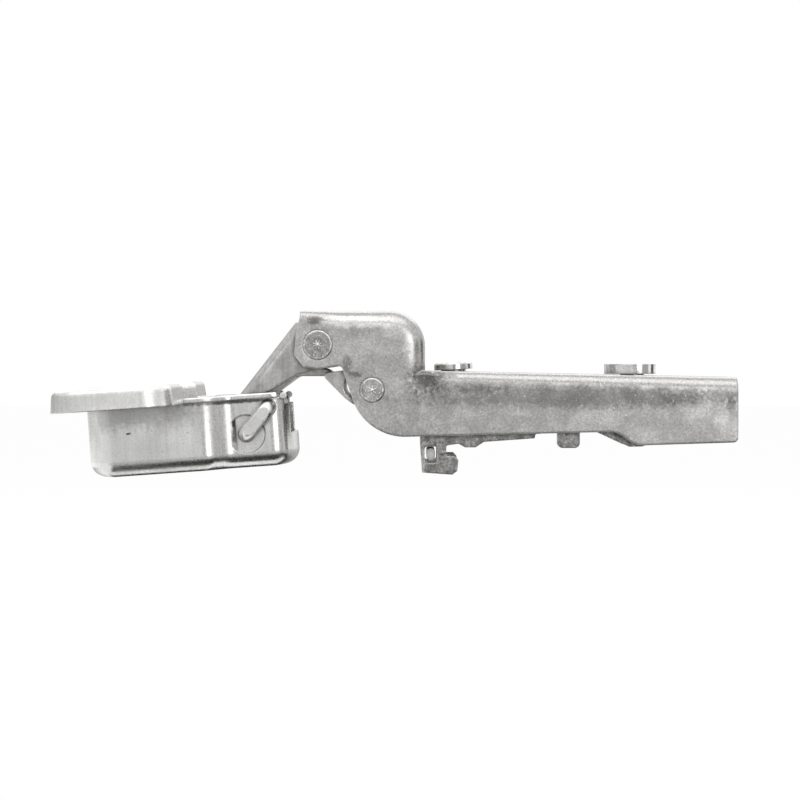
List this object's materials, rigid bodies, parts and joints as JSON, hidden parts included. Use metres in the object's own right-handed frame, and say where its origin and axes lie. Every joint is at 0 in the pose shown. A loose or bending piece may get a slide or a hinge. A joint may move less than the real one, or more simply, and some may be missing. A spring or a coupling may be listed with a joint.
{
  "type": "concealed cup hinge",
  "caption": "Concealed cup hinge for a cabinet door: cup with screw wings, two links, cranked arm and clip-on carrier, shown open.",
  "frame": {"origin": "middle of the carrier's front hook slot, where the hook closes on the mounting plate's bar, on the hinge's middle plane", "axes": "+X from the cup towards the rear of the arm, +Y along the pivots, +Z away from the cabinet side, so the cup's mouth opens towards +Z at the open stop"},
  "size_m": [0.1097, 0.058, 0.0275],
  "materials": {
    "plated_steel": "satin nickel plate",
    "bright_steel": "bright nickel plate",
    "plated_screw": "nickel plate",
    "spring_wire": "drawn wire"
  },
  "bodies": {
    "carrier": {"clip_carrier": "plated_steel", "hook_bar": "bright_steel", "latch_pin": "bright_steel"},
    "cam": {"depth_adjusting_cam": "plated_screw", "cam_washer": "plated_screw"},
    "screw": {"side_adjusting_screw": "plated_screw"},
    "latch": {"release_latch": "plated_steel", "latch_spring": "spring_wire"},
    "arm": {"hinge_arm": "plated_steel", "front_rivet": "plated_steel", "rear_rivet": "plated_steel", "closing_spring": "spring_wire"},
    "outer_link": {"outer_link": "plated_steel"},
    "cup": {"hinge_cup": "plated_steel", "cup_axle": "plated_steel"},
    "inner_link": {"inner_link": "plated_steel"}
  },
  "joints": [
    {"name": "cam_turn", "type": "hinge", "parent": "carrier", "child": "cam", "pos_m": [0.0306, 0, 0.01025], "axis": [0, 0, 1], "range_deg": [-120.5, 84.5]},
    {"name": "arm_depth_slide", "type": "slide", "parent": "carrier", "child": "arm", "axis": [1, 0, 0], "range_m": [-0.002, 0.0014]},
    {"name": "side_screw_turn", "type": "hinge", "parent": "carrier", "child": "screw", "pos_m": [0.0006, 0, 0.01325], "axis": [-0.0523, 0, 0.9986], "range_deg": [-540, 540]},
    {"name": "latch_turn", "type": "hinge", "parent": "carrier", "child": "latch", "pos_m": [0.037, 0, 0.00635], "axis": [0, 1, 0], "range_deg": [0, 12], "stiffness_Nm_per_rad": 0.05, "springref_deg": -11.46, "deforming": ["latch_spring"]},
    {"name": "outer_link_pivot", "type": "hinge", "parent": "arm", "child": "outer_link", "pos_m": [-0.0218, 0, 0.0174], "axis": [0, 1, 0], "range_deg": [-26.7, 0], "deforming": ["closing_spring"]},
    {"name": "cup_pivot", "type": "hinge", "parent": "outer_link", "child": "cup", "pos_m": [-0.03353, 0, 0.00278], "axis": [0, 1, 0], "range_deg": [0, 120.57]},
    {"name": "inner_link_pivot", "type": "hinge", "parent": "cup", "child": "inner_link", "pos_m": [-0.02989, 0, 0.00716], "axis": [0, 1, 0], "range_deg": [-144.2, 0]}
  ],
  "couplings": [
    {"joint": "cam_turn", "follows": "arm_depth_slide", "rad_per_m": 1047.2},
    {"joint": "outer_link_pivot", "follows": "cup_pivot", "ratio": -0.2204},
    {"joint": "inner_link_pivot", "follows": "cup_pivot", "ratio": -1.1945}
  ]
}
